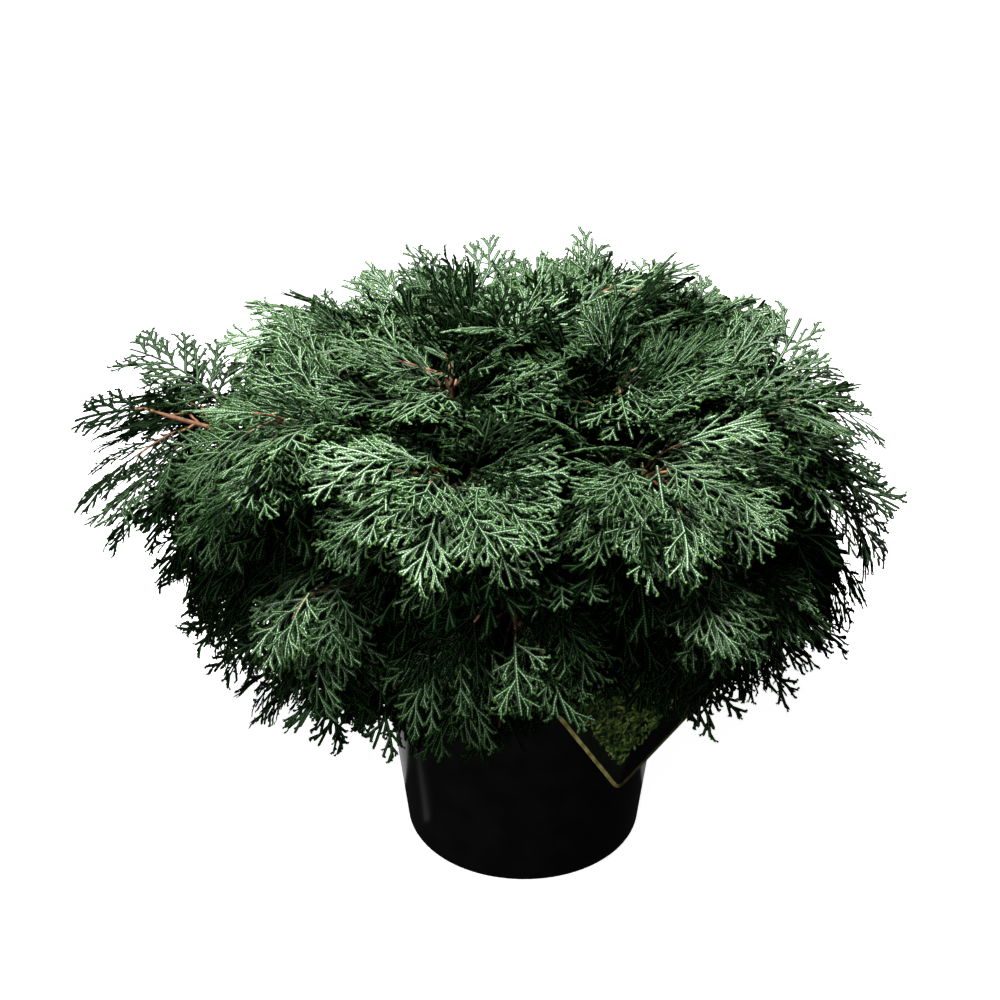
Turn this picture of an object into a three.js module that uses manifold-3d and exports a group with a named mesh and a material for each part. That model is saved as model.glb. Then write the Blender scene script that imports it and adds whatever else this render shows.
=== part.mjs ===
// Dwarf hinoki cypress in a round nursery pot, with its hanging plant label.
// Millimetres, +Z up. The origin is the centre of the pot's flat underside and -Y is the front.
import * as THREE from "three";
import { mergeVertices } from "three/addons/utils/BufferGeometryUtils.js";
import Module from "manifold-3d";

const wasm = await Module();
wasm.setup();

// ---------------------------------------------------------------- driving dimensions
const GAP = 0.3; // clearance between pieces that touch
const UP = new THREE.Vector3(0, 0, 1);

const POT = {
  height: 172,
  baseRadius: 78,
  rimRadius: 98, // outer wall at the rim, inside the lip
  cornerRadius: 7, // rounding between wall and underside
  wall: 1.6,
  floor: 2.4,
  lipHeight: 10,
  lipReach: 3,
  sides: 36,
  drains: 6,
  drainWidth: 6,
  drainHeight: 6,
};

const COMPOST = { top: 152, crownRadius: 24, edgeDrop: 4, sides: 28 };

const TRUNK = {
  height: 110, // above the compost
  belly: [11, -6], // x and y of the bend that gives the trunk its lean
  tip: [-6, 4],
  footRadius: 9.5,
  tipRadius: 3,
  flare: 5, // how far the root flare swells past the foot radius
  flareShare: 0.07,
  sides: 10,
  steps: 8,
};

// The crown is a bun: an ellipsoid wider than deep, flatter above its widest level than below it.
const CROWN = {
  heartHeight: 205, // limbs aim outwards from this point on the axis
  centreX: -6,
  centreHeight: 276,
  halfWidth: 250,
  halfDepth: 216,
  rise: 124, // widest level to top
  fall: 156, // widest level to lowest tips
  topRoundness: 2.6, // 2 is an ellipsoid, and more is flatter with fuller shoulders
  skirtRoundness: 5,
};

// Tiers of limbs from the pot's rim to the top. Angles are in degrees. An elevation is the aim from the heart
// to the mass, forks are heights on the trunk that neighbours take in turn, and sag bends foliage down. Round is
// how far out of the level, either way, its twigs may stand, and sprays are how many a mass may have.
const TIERS = [
  { name: "lower", count: 7, firstAzimuth: -92, sweep: 276, elevation: -7, forks: [166, 177], rise: 38,
    footRadius: 4, boughShare: 0.46, sag: 1, round: 70, sprays: 8, seed: 158 },
  { name: "middle", count: 8, firstAzimuth: -90, sweep: 315, elevation: 17, forks: [185, 199], rise: 44,
    footRadius: 4.3, boughShare: 0.38, sag: 0.8, round: 70, sprays: 8, seed: 52 },
  { name: "upper", count: 7, firstAzimuth: -108, sweep: 309, elevation: 41, forks: [208, 223], rise: 56,
    footRadius: 3.8, boughShare: 0.36, sag: 0.6, round: 70, sprays: 7, seed: 18 },
  { name: "top", count: 4, firstAzimuth: -132, sweep: 270, elevation: 65, forks: [232, 247], rise: 70,
    footRadius: 3.2, boughShare: 0.34, sag: 0.12, round: 90, sprays: 7, seed: 313 },
];
// One bough at the left has outgrown the crown and carries its foliage on a long bare stem.
const LONG_BOUGH = {
  name: "long", azimuth: 179, elevation: 24, fork: 204, rise: 36, footRadius: 4,
  reachShare: 1.16, boughShare: 0.6, sag: 0.4, round: 30, sprays: 7, seed: 61,
};
// The leader has no bough: its stem carries on from the trunk's tip.
const LEADER = {
  name: "leader", azimuth: 150, elevation: 88,
  reachShare: 1, sag: -0.1, round: 90, sprays: 7, seed: 197,
};

const BOUGH = { tipRadius: 2.1, sides: 5, steps: 3, azimuthJitter: 5, elevationJitter: 3, reachJitter: 0.04 };
const STEM = { endShare: 0.8, droop: 10, endRadius: 1.3, sides: 3, steps: 3 };
const HANG = 28; // how far below its stem the middle of a mass hangs, for a sag of 1
const TWIG = {
  endTries: 10, // tries at the spray that ends the stem
  tries: 520, // tries at the rest
  endLength: 5,
  longest: 44,
  shortest: 14,
  widestAngle: 72,
  narrowestAngle: 34,
  angleJitter: 16,
  footRadius: 1,
  tipRadius: 0.6,
};
const SPRAY = {
  length: 104, // of the first try, and later tries are smaller
  width: 92,
  smallest: 0.32, // share of the full size that the last try has
  thickness: 1.6,
  rib: 1.7, // half width of the rib between the teeth
  teeth: 2, // on each side of the rib, and one on a spray under the next length
  shortOfTeeth: 72,
  toothAngle: 40,
  sunk: 2.5, // how far its root overlaps its twig's tip
  roll: 22, // how far a spray may turn about its own rib, either way
};
const CELL_MARGIN = 0.6; // a mass keeps this far from the plane between it and the next
const LIMB_MARGIN = 1.2;

// The label hangs from the front right bough by a strap through its top corner, one corner down.
const LABEL = {
  width: 134,
  height: 100,
  thickness: 0.9,
  corner: 6,
  lowest: new THREE.Vector3(58, -88, 82), // its lowest corner
  azimuth: -57, // the side that it faces
  lean: 2, // from upright
  turn: 32.5, // its lower right edge's slope within its own plane
  strapWidth: 5,
  strapThickness: 1,
  ringWall: 1.6,
  ringSlack: 0.4, // on top of the usual gap, because the bough bends inside the ring
  bough: "middle_8",
  ringShare: 2 / 3, // how far along that bough the strap's ring sits
  view: 120, // how far out in front of it no spray hangs
};

const MATERIALS = {
  foliage: new THREE.MeshStandardMaterial({ color: 0x2f5a3a, roughness: 0.55, metalness: 0 }),
  bark: new THREE.MeshStandardMaterial({ color: 0x7b4129, roughness: 0.85, metalness: 0 }),
  pot: new THREE.MeshStandardMaterial({ color: 0x0c0d0d, roughness: 0.4, metalness: 0 }),
  compost: new THREE.MeshStandardMaterial({ color: 0x2a1d14, roughness: 1, metalness: 0 }),
  label: new THREE.MeshStandardMaterial({ color: 0x20301a, roughness: 0.35, metalness: 0 }),
};

// ---------------------------------------------------------------- small tools
const radians = THREE.MathUtils.degToRad;
const lerp = THREE.MathUtils.lerp;

// Repeatable random numbers between 0 and 1 (Lehmer's generator).
function seeded(seed) {
  let state = seed * 7919 + 1;
  return () => {
    state = (state * 48271) % 2147483647;
    return state / 2147483647;
  };
}

// A random number between -1 and 1.
const swing = (random) => 2 * random() - 1;

function solidOf(geometry) {
  const bare = geometry.clone();
  bare.deleteAttribute("normal");
  bare.deleteAttribute("uv");
  const merged = mergeVertices(bare, 1e-4);
  return new wasm.Manifold(
    new wasm.Mesh({
      numProp: 3,
      vertProperties: new Float32Array(merged.attributes.position.array),
      triVerts: new Uint32Array(merged.index.array),
    }),
  );
}

function geometryOf(solid) {
  const { vertProperties, triVerts } = solid.getMesh();
  const geometry = new THREE.BufferGeometry();
  geometry.setAttribute("position", new THREE.BufferAttribute(vertProperties, 3));
  geometry.setIndex(new THREE.BufferAttribute(triVerts, 1));
  geometry.computeVertexNormals();
  return geometry;
}

const joined = (solids) => solids.reduce((whole, piece) => whole.add(piece));
const largestOf = (solid) => solid.decompose().reduce((a, b) => (b.volume() > a.volume() ? b : a));

function addMesh(group, name, solid, material) {
  const mesh = new THREE.Mesh(geometryOf(solid), material);
  mesh.name = name;
  group.add(mesh);
}

// A closed limb along a curve: a cylinder bent onto it, with radiusAt(share) round each ring.
function limb(curve, radiusAt, sides, steps) {
  const geometry = new THREE.CylinderGeometry(1, 1, 1, sides, steps);
  const frames = curve.computeFrenetFrames(steps);
  const position = geometry.attributes.position;
  const point = new THREE.Vector3();
  for (let i = 0; i < position.count; i++) {
    const [x, y, z] = [position.getX(i), position.getY(i), position.getZ(i)];
    const step = Math.round((y + 0.5) * steps);
    const across = frames.normals[step];
    const beside = across.clone().cross(frames.tangents[step]);
    const radius = radiusAt(step / steps);
    curve.getPointAt(step / steps, point);
    point.addScaledVector(across, x * radius).addScaledVector(beside, z * radius);
    position.setXYZ(i, point.x, point.y, point.z);
  }
  return solidOf(geometry);
}

// ---------------------------------------------------------------- the pot and its compost
const potRadiusAt = (height) => lerp(POT.baseRadius, POT.rimRadius, height / POT.height);
const revolved = (profile, sides) => solidOf(new THREE.LatheGeometry(profile, sides).rotateX(Math.PI / 2));

function makePot() {
  const { height, wall, floor, lipHeight, lipReach, cornerRadius: corner } = POT;
  const lipFoot = height - lipHeight;
  const roundedCorner = [0, 45, 90].map((degrees) => {
    const angle = radians(degrees);
    return new THREE.Vector2(potRadiusAt(corner) - corner * (1 - Math.sin(angle)), corner * (1 - Math.cos(angle)));
  });
  const profile = [
    new THREE.Vector2(0, 0),
    ...roundedCorner,
    new THREE.Vector2(potRadiusAt(lipFoot), lipFoot),
    new THREE.Vector2(potRadiusAt(lipFoot) + lipReach, lipFoot + 1),
    new THREE.Vector2(potRadiusAt(height) + lipReach, height),
    new THREE.Vector2(potRadiusAt(height) - wall, height),
    new THREE.Vector2(potRadiusAt(floor + corner) - wall, floor + corner),
    new THREE.Vector2(potRadiusAt(floor) - wall - corner * 0.6, floor),
    new THREE.Vector2(0, floor),
  ];
  let pot = revolved(profile, POT.sides);
  for (let i = 0; i < POT.drains; i++) {
    const slot = new THREE.BoxGeometry(18, POT.drainWidth, POT.drainHeight * 2);
    slot.translate(POT.baseRadius, 0, 0).rotateZ(radians((360 / POT.drains) * i));
    pot = pot.subtract(solidOf(slot));
  }
  return pot;
}

function makeCompost() {
  const inner = (height) => potRadiusAt(height) - POT.wall - GAP;
  const bottom = POT.floor + GAP;
  const shoulder = bottom + POT.cornerRadius;
  const edge = COMPOST.top - COMPOST.edgeDrop;
  const profile = [
    new THREE.Vector2(0, bottom),
    new THREE.Vector2(inner(bottom) - POT.cornerRadius, bottom),
    new THREE.Vector2(inner(shoulder) - GAP, shoulder),
    new THREE.Vector2(inner(edge) - GAP, edge),
    new THREE.Vector2(COMPOST.crownRadius * 2.4, COMPOST.top - COMPOST.edgeDrop * 0.4),
    new THREE.Vector2(COMPOST.crownRadius, COMPOST.top),
    new THREE.Vector2(0, COMPOST.top),
  ];
  return revolved(profile, COMPOST.sides);
}

// ---------------------------------------------------------------- trunk, boughs and stems as curves
const trunkFoot = COMPOST.top + GAP;
// Its control points are a third of its height apart, so a share of the curve is a share of the height.
const trunkCurve = new THREE.CubicBezierCurve3(
  new THREE.Vector3(0, 0, trunkFoot),
  new THREE.Vector3(0, 0, trunkFoot + TRUNK.height / 3),
  new THREE.Vector3(...TRUNK.belly, trunkFoot + (TRUNK.height * 2) / 3),
  new THREE.Vector3(...TRUNK.tip, trunkFoot + TRUNK.height),
);
const trunkRadius = (share) =>
  lerp(TRUNK.footRadius, TRUNK.tipRadius, share) + TRUNK.flare * Math.exp(-share / TRUNK.flareShare);
const boughRadius = (plan) => (share) => lerp(plan.footRadius, BOUGH.tipRadius, share);
const stemRadius = (share) => lerp(BOUGH.tipRadius, STEM.endRadius, share);

function aim(azimuth, elevation) {
  const [a, e] = [radians(azimuth), radians(elevation)];
  return new THREE.Vector3(Math.cos(e) * Math.cos(a), Math.cos(e) * Math.sin(a), Math.sin(e));
}

// 0 at the crown's centre, 1 on its outer surface.
function crownLevel(point, swell = 1) {
  const above = point.z > CROWN.centreHeight;
  const vertical = Math.abs(point.z - CROWN.centreHeight) / (above ? CROWN.rise : CROWN.fall) / swell;
  const across = Math.hypot((point.x - CROWN.centreX) / CROWN.halfWidth, point.y / CROWN.halfDepth) / swell;
  return across ** 2 + vertical ** (above ? CROWN.topRoundness : CROWN.skirtRoundness);
}

// Distance from the heart to the crown's outer surface along a direction.
function crownReach(direction) {
  const heart = new THREE.Vector3(0, 0, CROWN.heartHeight);
  let [near, far] = [0, CROWN.halfWidth * 2];
  while (far - near > 0.5) {
    const middle = (near + far) / 2;
    if (crownLevel(heart.clone().addScaledVector(direction, middle)) < 1) near = middle;
    else far = middle;
  }
  return near;
}

// A limb's plan: its bough's curve, and its stem's curve, which carries on from the bough's tip.
function planLimb(plan) {
  const heart = new THREE.Vector3(0, 0, CROWN.heartHeight);
  const direction = aim(plan.azimuth, plan.elevation);
  const reach = crownReach(direction) * plan.reachShare;
  const end = heart.clone().addScaledVector(direction, reach * STEM.endShare);
  end.z -= plan.sag * STEM.droop;
  let foot = trunkCurve.getPoint(1);
  let leaving = trunkCurve.getTangent(1);
  if (plan.fork) {
    const start = trunkCurve.getPoint((plan.fork - trunkFoot) / TRUNK.height);
    foot = heart.clone().addScaledVector(direction, reach * plan.boughShare);
    foot.z += plan.sag * STEM.droop;
    const bend = start.clone().addScaledVector(aim(plan.azimuth, plan.rise), start.distanceTo(foot) * 0.5);
    plan.bough = new THREE.QuadraticBezierCurve3(start, bend, foot);
    leaving = plan.bough.getTangent(1);
  }
  const start = foot.clone().addScaledVector(leaving, GAP);
  const bend = start.clone().addScaledVector(leaving, foot.distanceTo(end) * 0.45);
  plan.stem = new THREE.QuadraticBezierCurve3(start, bend, end);
  plan.site = plan.stem.getPoint(0.75).addScaledVector(UP, -plan.sag * HANG);
  return plan;
}

function planTier(tier) {
  const random = seeded(tier.seed);
  return Array.from({ length: tier.count }, (_, i) => {
    return planLimb({
      ...tier,
      name: `${tier.name}_${i + 1}`,
      azimuth: tier.firstAzimuth - (tier.sweep / (tier.count - 1)) * i + swing(random) * BOUGH.azimuthJitter,
      elevation: tier.elevation + swing(random) * BOUGH.elevationJitter,
      reachShare: 1 + swing(random) * BOUGH.reachJitter,
      fork: tier.forks[i % 2],
      seed: tier.seed * 10 + i,
    });
  });
}

const plans = [...TIERS.flatMap(planTier), planLimb({ ...LONG_BOUGH }), planLimb({ ...LEADER })];

// Points along every limb with the limb's radius there, for keeping sprays off the wood.
const woodPoints = [];
function noteWood(curve, radiusAt, stemOf) {
  const steps = Math.ceil(curve.getLength() / 4);
  for (let i = 0; i <= steps; i++) {
    woodPoints.push({ point: curve.getPoint(i / steps), radius: radiusAt(i / steps), stemOf });
  }
}
noteWood(trunkCurve, trunkRadius, null);
for (const plan of plans) {
  if (plan.bough) noteWood(plan.bough, boughRadius(plan), null);
  noteWood(plan.stem, stemRadius, plan);
}

// ---------------------------------------------------------------- the label
// Its own frame: origin at its lowest corner, x and y along the two lower edges, z out of its face.
const labelFrame = (() => {
  const [azimuth, lean, turn] = [LABEL.azimuth, LABEL.lean, LABEL.turn].map(radians);
  const outward = new THREE.Vector3(Math.cos(azimuth), Math.sin(azimuth), 0);
  const level = new THREE.Vector3(-Math.sin(azimuth), Math.cos(azimuth), 0);
  const slope = UP.clone().multiplyScalar(Math.cos(lean)).addScaledVector(outward, -Math.sin(lean));
  const x = level.clone().multiplyScalar(Math.cos(turn)).addScaledVector(slope, Math.sin(turn));
  const y = level.clone().multiplyScalar(-Math.sin(turn)).addScaledVector(slope, Math.cos(turn));
  return new THREE.Matrix4().makeBasis(x, y, x.clone().cross(y)).setPosition(LABEL.lowest);
})();
const intoLabel = labelFrame.clone().invert();

// The card, or with some room round its faces the space that the strap keeps out of.
function makeLabelCard(room = 0) {
  const { width, height, corner, thickness } = LABEL;
  const shape = new THREE.Shape();
  const corners = [
    [corner, corner, 180],
    [width - corner, corner, 270],
    [width - corner, height - corner, 0],
    [corner, height - corner, 90],
  ];
  for (const [x, y, from] of corners) {
    shape.absarc(x, y, corner, radians(from), radians(from + 90), false);
  }
  const depth = thickness + 2 * room;
  const card = new THREE.ExtrudeGeometry(shape, { depth, bevelEnabled: false, curveSegments: 3 });
  return solidOf(card.translate(0, 0, -room).applyMatrix4(labelFrame));
}

const boughSolid = (plan, room = 0) =>
  limb(plan.bough, (share) => boughRadius(plan)(share) + room, BOUGH.sides, BOUGH.steps);

const labelPlan = plans.find(({ name }) => name === LABEL.bough);
const ringCentre = labelPlan.bough.getPointAt(LABEL.ringShare);
const ringAxis = labelPlan.bough.getTangentAt(LABEL.ringShare);
const ringInner = boughRadius(labelPlan)(LABEL.ringShare) + GAP + LABEL.ringSlack;

// A ring round the bough and a flat strap down from it to the back of the card's top corner.
function makeLabelStrap() {
  const half = LABEL.strapWidth / 2;
  const outer = ringInner + LABEL.ringWall;
  const section = [
    new THREE.Vector2(ringInner, -half),
    new THREE.Vector2(outer, -half),
    new THREE.Vector2(outer, half),
    new THREE.Vector2(ringInner, half),
    new THREE.Vector2(ringInner, -half),
  ];
  const ring = new THREE.LatheGeometry(section, 12);
  ring.applyQuaternion(new THREE.Quaternion().setFromUnitVectors(new THREE.Vector3(0, 1, 0), ringAxis));
  ring.translate(ringCentre.x, ringCentre.y, ringCentre.z);

  const inset = LABEL.corner + half;
  const backGap = -GAP - LABEL.strapThickness / 2;
  const low = new THREE.Vector3(LABEL.width - inset, LABEL.height - inset, backGap).applyMatrix4(labelFrame);
  const high = new THREE.Vector3(LABEL.width - 2, LABEL.height - 2, backGap).applyMatrix4(labelFrame);
  const hook = ringCentre.clone().addScaledVector(UP, -(ringInner + LABEL.ringWall / 2));
  const path = new THREE.CatmullRomCurve3([low, high, hook]);
  const across = new THREE.Shape([
    new THREE.Vector2(-LABEL.strapThickness / 2, -half),
    new THREE.Vector2(LABEL.strapThickness / 2, -half),
    new THREE.Vector2(LABEL.strapThickness / 2, half),
    new THREE.Vector2(-LABEL.strapThickness / 2, half),
  ]);
  const strap = new THREE.ExtrudeGeometry(across, { extrudePath: path, steps: 5, bevelEnabled: false });
  const whole = solidOf(ring).add(solidOf(strap));
  return largestOf(whole.subtract(boughSolid(labelPlan, GAP)).subtract(makeLabelCard(GAP)));
}

// ---------------------------------------------------------------- masses of foliage
// A spray's toothed outline: x along its rib, y across. The teeth on each side lean forwards.
function sprayOutline(length, width) {
  const side = [[0, SPRAY.rib]];
  const teeth = length < SPRAY.shortOfTeeth ? 1 : SPRAY.teeth;
  for (let i = 0; i < teeth; i++) {
    const share = i / teeth;
    const root = length * (0.06 + 0.72 * share);
    const out = (width / 2) * (1 - 0.38 * share);
    side.push([Math.min(root + out / Math.tan(radians(SPRAY.toothAngle)), length * 0.96), out]);
    side.push([root + length * 0.36, SPRAY.rib * 3.2]);
  }
  const mirrored = side.map(([x, y]) => [x, -y]);
  return [...mirrored, [length, 0], ...side.reverse()].map(([x, y]) => new THREE.Vector2(x, y));
}

// A spray's frame: x along its rib, z its normal, turned about the rib by roll degrees.
function sprayFrame(root, direction, roll) {
  const across = UP.clone().cross(direction).normalize().applyAxisAngle(direction, radians(roll));
  return new THREE.Matrix4().makeBasis(direction, across, direction.clone().cross(across)).setPosition(root);
}

// Distance from a point to the nearest plane halfway to a neighbour's site: positive in the own space.
function spaceLeft(point, plan) {
  let least = Infinity;
  for (const other of plans) {
    if (other === plan) continue;
    const further = point.distanceToSquared(other.site) - point.distanceToSquared(plan.site);
    least = Math.min(least, further / (2 * other.site.distanceTo(plan.site)));
  }
  return least;
}

function nearPot(point) {
  const outside = Math.hypot(point.x, point.y) > potRadiusAt(point.z) + POT.lipReach + LIMB_MARGIN;
  return point.z < POT.height + LIMB_MARGIN && !outside;
}

function nearLabel(point) {
  const room = 6;
  const local = point.clone().applyMatrix4(intoLabel);
  const within = (value, size) => value > -room && value < size + room;
  const lowerHalf = local.x / LABEL.width + local.y / LABEL.height < 1.05; // no spray hangs in front of this half
  const inFront = local.z < (lowerHalf ? LABEL.view : room);
  const onCard = within(local.x, LABEL.width) && within(local.y, LABEL.height) && local.z > -room && inFront;
  return onCard || point.distanceTo(ringCentre) < ringInner + LABEL.ringWall + room;
}

function isFree(point, plan) {
  const inCrown = crownLevel(point, plan.reachShare) < 1;
  return inCrown && spaceLeft(point, plan) > CELL_MARGIN && !nearPot(point) && !nearLabel(point);
}

// Points spread over a flat spray, narrower towards its root.
function pointsOn({ frame, length, width }) {
  const points = [];
  for (let i = 0; i <= 6; i++) {
    for (let j = -2; j <= 2; j++) {
      const spread = (width / 2) * (j / 2) * Math.min(1, 0.15 + i / 2);
      points.push(new THREE.Vector3((length * i) / 6, spread, 0).applyMatrix4(frame));
    }
  }
  return points;
}

// True if points that follow a spray, twig or stem lie on both sides of a flat spray, or against it.
function crosses(points, { frame, length, width }) {
  const inverse = frame.clone().invert();
  let [lowest, highest] = [Infinity, -Infinity];
  for (const point of points) {
    const local = point.clone().applyMatrix4(inverse);
    if (local.x < 0 || local.x > length || Math.abs(local.y) > width / 2) continue;
    lowest = Math.min(lowest, local.z);
    highest = Math.max(highest, local.z);
  }
  return lowest < SPRAY.thickness && highest > -SPRAY.thickness;
}

// True if a flat spray keeps to its mass's space, off the mass's other sprays, and clear of wood, pot and label.
function sprayFits(spray, plan, others) {
  const { frame, length, width } = spray;
  const points = pointsOn(spray);
  if (points.some((point) => !isFree(point, plan)) || crosses(plan.stem.getPoints(12), spray)) return false;
  for (const other of others) {
    const ownTwig = new THREE.LineCurve3(spray.root, spray.tip).getPoints(8);
    const otherTwig = new THREE.LineCurve3(other.root, other.tip).getPoints(8);
    if (crosses(points, other) || crosses(ownTwig, other) || crosses(otherTwig, spray)) return false;
  }
  const inverse = frame.clone().invert();
  for (const { point: centre, radius, stemOf } of woodPoints) {
    if (stemOf === plan) continue;
    const local = centre.clone().applyMatrix4(inverse);
    const keep = radius + LIMB_MARGIN + SPRAY.thickness;
    const beside = local.x > -keep && local.x < length + keep && Math.abs(local.y) < width / 2 + keep;
    if (beside && Math.abs(local.z) < keep) return false;
  }
  return true;
}

function twigFits(root, tip, plan) {
  const point = new THREE.Vector3();
  for (let i = 1; i <= 8; i++) {
    point.lerpVectors(root, tip, i / 8);
    if (!isFree(point, plan)) return false;
    for (const { point: centre, radius, stemOf } of woodPoints) {
      if (stemOf !== plan && centre.distanceTo(point) < radius + TWIG.footRadius + LIMB_MARGIN) return false;
    }
  }
  return true;
}

// One try at a spray and the twig that carries it. The first tries are for the spray that ends the stem, and
// the rest branch off anywhere along it, smaller from try to try.
function growSpray(plan, attempt, random) {
  const last = attempt < TWIG.endTries;
  const tired = last ? attempt / TWIG.endTries : (attempt - TWIG.endTries) / TWIG.tries;
  const share = last ? 1 : lerp(0.08, 0.97, random());
  const size = lerp(1, SPRAY.smallest, tired) * (1 + swing(random) * 0.08);
  const root = plan.stem.getPoint(share);
  const along = plan.stem.getTangent(share);
  const side = random() < 0.5 ? 0 : 180;
  const roll = side + swing(random) * plan.round;
  const beside = UP.clone().cross(along).normalize().applyAxisAngle(along, radians(roll));
  const spread = last ? 0 : lerp(TWIG.widestAngle, TWIG.narrowestAngle, share) + swing(random) * TWIG.angleJitter;
  const angle = radians(spread);
  const direction = along.clone().multiplyScalar(Math.cos(angle)).addScaledVector(beside, Math.sin(angle));
  const twigLength = last ? TWIG.endLength : lerp(TWIG.longest, TWIG.shortest, share) * size;
  const tip = root.clone().addScaledVector(direction, twigLength);
  const bent = direction.clone().addScaledVector(along, 0.3);
  bent.addScaledVector(UP, -plan.sag * lerp(0.2, 1.1, share)).normalize();
  const frame = sprayFrame(tip.clone().addScaledVector(bent, -SPRAY.sunk), bent, swing(random) * SPRAY.roll);
  return { root, tip, frame, length: SPRAY.length * size, width: SPRAY.width * size, last };
}

function growMass(plan) {
  const random = seeded(plan.seed);
  const sprays = [];
  for (let attempt = 0; attempt < TWIG.endTries + TWIG.tries && sprays.length < plan.sprays; attempt++) {
    if (attempt < TWIG.endTries && sprays.length > 0) continue;
    const spray = growSpray(plan, attempt, random);
    if (!spray.last && !twigFits(spray.root, spray.tip, plan)) continue;
    if (sprayFits(spray, plan, sprays)) sprays.push(spray);
  }
  return sprays;
}

function massSolid(plan) {
  const pieces = [limb(plan.stem, stemRadius, STEM.sides, STEM.steps)];
  for (const { root, tip, frame, length, width, last } of growMass(plan)) {
    const blade = new THREE.ExtrudeGeometry(new THREE.Shape(sprayOutline(length, width)), {
      depth: SPRAY.thickness,
      bevelEnabled: false,
    });
    pieces.push(solidOf(blade.translate(0, 0, -SPRAY.thickness / 2).applyMatrix4(frame)));
    if (last) continue;
    const twigRadius = (share) => lerp(TWIG.footRadius, TWIG.tipRadius, share);
    pieces.push(limb(new THREE.LineCurve3(root, tip), twigRadius, 3, 1));
  }
  return largestOf(joined(pieces));
}

// ---------------------------------------------------------------- the whole plant
const plant = new THREE.Group();
addMesh(plant, "pot", makePot(), MATERIALS.pot);
addMesh(plant, "compost", makeCompost(), MATERIALS.compost);
addMesh(plant, "trunk", limb(trunkCurve, trunkRadius, TRUNK.sides, TRUNK.steps), MATERIALS.bark);

// Each bough is cut clear of the trunk and of the boughs made before it.
let woodSoFar = limb(trunkCurve, (share) => trunkRadius(share) + GAP, TRUNK.sides, TRUNK.steps);
for (const plan of plans) {
  if (plan.bough) {
    addMesh(plant, `bough_${plan.name}`, largestOf(boughSolid(plan).subtract(woodSoFar)), MATERIALS.bark);
    woodSoFar = woodSoFar.add(boughSolid(plan, GAP));
  }
  addMesh(plant, `foliage_${plan.name}`, massSolid(plan), MATERIALS.foliage);
}
addMesh(plant, "label_card", makeLabelCard(), MATERIALS.label);
addMesh(plant, "label_strap", makeLabelStrap(), MATERIALS.label);

export default plant;
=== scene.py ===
"""Looks of a dwarf hinoki cypress in a nursery pot, for Blender 4.5.

Metres and degrees, +Z up, the front at -Y. The limbs and the first sprays grow by the rule of the solids'
source, with its sizes and seeds. Finer sprays then fill each mass, and every spray becomes a flat fan of
scaly branchlets.
"""

import math
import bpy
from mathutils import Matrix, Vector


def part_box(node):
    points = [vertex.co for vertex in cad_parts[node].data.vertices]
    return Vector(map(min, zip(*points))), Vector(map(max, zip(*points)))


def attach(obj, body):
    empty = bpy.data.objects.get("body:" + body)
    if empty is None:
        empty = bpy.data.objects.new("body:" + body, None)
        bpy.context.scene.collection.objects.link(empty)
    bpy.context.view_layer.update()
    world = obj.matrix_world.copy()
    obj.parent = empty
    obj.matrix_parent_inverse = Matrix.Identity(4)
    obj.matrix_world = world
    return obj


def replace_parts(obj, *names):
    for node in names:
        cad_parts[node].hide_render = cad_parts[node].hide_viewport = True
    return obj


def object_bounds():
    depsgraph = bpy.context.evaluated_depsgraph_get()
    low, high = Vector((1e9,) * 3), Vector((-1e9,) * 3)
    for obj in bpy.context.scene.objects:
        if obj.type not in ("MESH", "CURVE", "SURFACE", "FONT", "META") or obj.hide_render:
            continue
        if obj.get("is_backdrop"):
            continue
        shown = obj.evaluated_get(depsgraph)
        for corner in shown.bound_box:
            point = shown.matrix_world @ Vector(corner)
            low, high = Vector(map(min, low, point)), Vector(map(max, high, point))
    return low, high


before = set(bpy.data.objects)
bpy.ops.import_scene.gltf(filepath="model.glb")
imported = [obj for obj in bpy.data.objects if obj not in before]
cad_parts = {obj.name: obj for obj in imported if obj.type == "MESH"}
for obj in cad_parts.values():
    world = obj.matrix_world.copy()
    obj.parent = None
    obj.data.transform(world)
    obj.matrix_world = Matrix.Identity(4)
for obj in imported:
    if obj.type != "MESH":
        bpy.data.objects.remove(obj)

from types import SimpleNamespace as Sizes

import bpy
import numpy as np

cad_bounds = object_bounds()
SOLIDS_LOW, SOLIDS_HIGH = (np.array(corner) for corner in cad_bounds)

# -------- sizes that the solids' source shares
GAP = 0.0003
UP = np.array((0.0, 0.0, 1.0))
POT = Sizes(height=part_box("pot")[1].z, base_radius=0.078, rim_radius=0.098, corner=0.007, wall=0.0016,
            floor=0.0024, lip_height=0.010, lip_reach=0.003)
COMPOST_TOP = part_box("compost")[1].z
TRUNK = Sizes(height=0.110, belly=(0.011, -0.006), tip=(-0.006, 0.004), foot_radius=0.0095,
              tip_radius=0.003, flare=0.005, flare_share=0.07)
CROWN = Sizes(heart=0.205, centre_x=-0.006, centre_z=0.276, half_width=0.250, half_depth=0.216, rise=0.124,
              fall=0.156, top_roundness=2.6, skirt_roundness=5)
TIERS = [
    dict(name="lower", count=7, first_azimuth=-92, sweep=276, elevation=-7, forks=(0.166, 0.177), rise=38,
         foot_radius=0.0040, bough_share=0.46, sag=1, round=70, sprays=8, seed=158),
    dict(name="middle", count=8, first_azimuth=-90, sweep=315, elevation=17, forks=(0.185, 0.199), rise=44,
         foot_radius=0.0043, bough_share=0.38, sag=0.8, round=70, sprays=8, seed=52),
    dict(name="upper", count=7, first_azimuth=-108, sweep=309, elevation=41, forks=(0.208, 0.223), rise=56,
         foot_radius=0.0038, bough_share=0.36, sag=0.6, round=70, sprays=7, seed=18),
    dict(name="top", count=4, first_azimuth=-132, sweep=270, elevation=65, forks=(0.232, 0.247), rise=70,
         foot_radius=0.0032, bough_share=0.34, sag=0.12, round=90, sprays=7, seed=313),
]
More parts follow.
